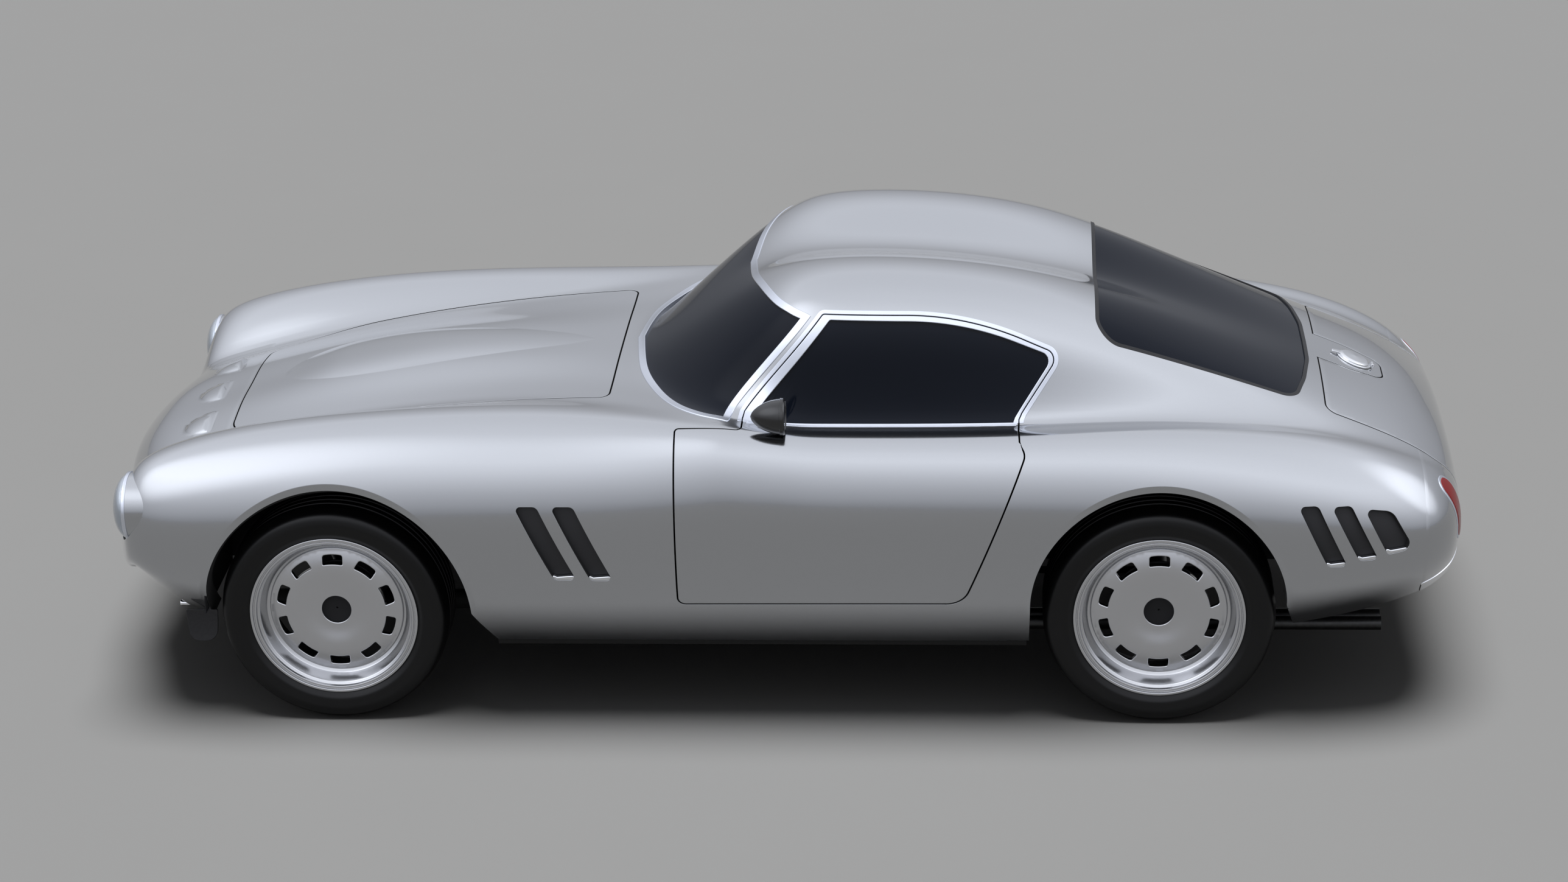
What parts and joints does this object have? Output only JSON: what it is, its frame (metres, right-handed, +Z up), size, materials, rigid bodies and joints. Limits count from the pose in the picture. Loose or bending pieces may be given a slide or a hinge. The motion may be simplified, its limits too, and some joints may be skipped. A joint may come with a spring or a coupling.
{
  "type": "coupe car",
  "caption": "Low two-seat fastback coupe with opening doors, hood and trunk lid, steered front wheels and slotted disc wheels.",
  "frame": {"origin": "on the ground under the middle of the car's length and width", "axes": "+Z up, the nose points to -X, the car's left side is -Y"},
  "size_m": [4.004, 1.6344, 1.2712],
  "materials": {
    "silver_paint": "gloss metallic",
    "pane": "dark tint",
    "underside": "matt",
    "steel": "matt",
    "pipe_steel": "satin",
    "alloy": "satin",
    "trim_black": "satin",
    "wood_rim": "varnished",
    "hide": "satin",
    "lens": "clear",
    "red_lens": "gloss",
    "bright": "polished",
    "wheel_alloy": "satin",
    "tyre_rubber": "matt"
  },
  "bodies": {
    "body": {"nose_panel": "silver_paint", "cowl_panel": "silver_paint", "roof_panel": "silver_paint", "rear_deck": "silver_paint", "tail_panel": "silver_paint", "front_wing_left": "silver_paint", "sill_left": "silver_paint", "rear_quarter_left": "silver_paint", "front_wing_right": "silver_paint", "sill_right": "silver_paint", "rear_quarter_right": "silver_paint", "windshield": "pane", "rear_window": "pane", "floor_pan": "underside", "chassis_frame": "underside", "front_suspension": "steel", "rear_axle": "steel", "exhaust": "pipe_steel", "engine_block": "alloy", "dashboard": "trim_black", "steering_wheel": "wood_rim", "seat_left": "hide", "seat_right": "hide", "headlight_left": "lens", "headlight_right": "lens", "tail_light_left": "red_lens", "tail_light_right": "red_lens", "grille": "alloy", "fuel_cap": "bright"},
    "hood": {"hood": "silver_paint"},
    "trunk_lid": {"trunk_lid": "silver_paint"},
    "door_left": {"door_left": "silver_paint", "door_glass_left": "pane", "mirror_left": "trim_black"},
    "door_right": {"door_right": "silver_paint", "door_glass_right": "pane", "mirror_right": "trim_black"},
    "knuckle_left": {"knuckle_left": "steel"},
    "knuckle_right": {"knuckle_right": "steel"},
    "wheel_front_left": {"rim_front_left": "wheel_alloy", "tyre_front_left": "tyre_rubber"},
    "wheel_front_right": {"rim_front_right": "wheel_alloy", "tyre_front_right": "tyre_rubber"},
    "wheel_rear_left": {"rim_rear_left": "wheel_alloy", "tyre_rear_left": "tyre_rubber"},
    "wheel_rear_right": {"rim_rear_right": "wheel_alloy", "tyre_rear_right": "tyre_rubber"}
  },
  "joints": [
    {"name": "hood_hinge", "type": "hinge", "parent": "body", "child": "hood", "pos_m": [-1.525, 0, 0.76], "axis": [0, -1, 0], "range_deg": [0, 60]},
    {"name": "trunk_hinge", "type": "hinge", "parent": "body", "child": "trunk_lid", "pos_m": [1.645, 0, 0.865], "axis": [0, -1, 0], "range_deg": [0, 65]},
    {"name": "door_hinge_left", "type": "hinge", "parent": "body", "child": "door_left", "pos_m": [-0.244, -0.803, 0.575], "axis": [0, 0, -1], "range_deg": [0, 68]},
    {"name": "door_hinge_right", "type": "hinge", "parent": "body", "child": "door_right", "pos_m": [-0.244, 0.803, 0.575], "axis": [0, 0, 1], "range_deg": [0, 68]},
    {"name": "steer_left", "type": "hinge", "parent": "body", "child": "knuckle_left", "pos_m": [-1.28, -0.59, 0.335], "axis": [0, 0, 1], "range_deg": [-28, 28]},
    {"name": "steer_right", "type": "hinge", "parent": "body", "child": "knuckle_right", "pos_m": [-1.28, 0.59, 0.335], "axis": [0, 0, 1], "range_deg": [-28, 28]},
    {"name": "roll_front_left", "type": "hinge", "parent": "knuckle_left", "child": "wheel_front_left", "pos_m": [-1.28, -0.64, 0.335], "axis": [0, 1, 0], "continuous": true},
    {"name": "roll_front_right", "type": "hinge", "parent": "knuckle_right", "child": "wheel_front_right", "pos_m": [-1.28, 0.64, 0.335], "axis": [0, 1, 0], "continuous": true},
    {"name": "roll_rear_left", "type": "hinge", "parent": "body", "child": "wheel_rear_left", "pos_m": [1.12, -0.64, 0.335], "axis": [0, 1, 0], "continuous": true},
    {"name": "roll_rear_right", "type": "hinge", "parent": "body", "child": "wheel_rear_right", "pos_m": [1.12, 0.64, 0.335], "axis": [0, 1, 0], "continuous": true}
  ],
  "couplings": [
    {"joint": "steer_right", "follows": "steer_left", "ratio": 1}
  ]
}
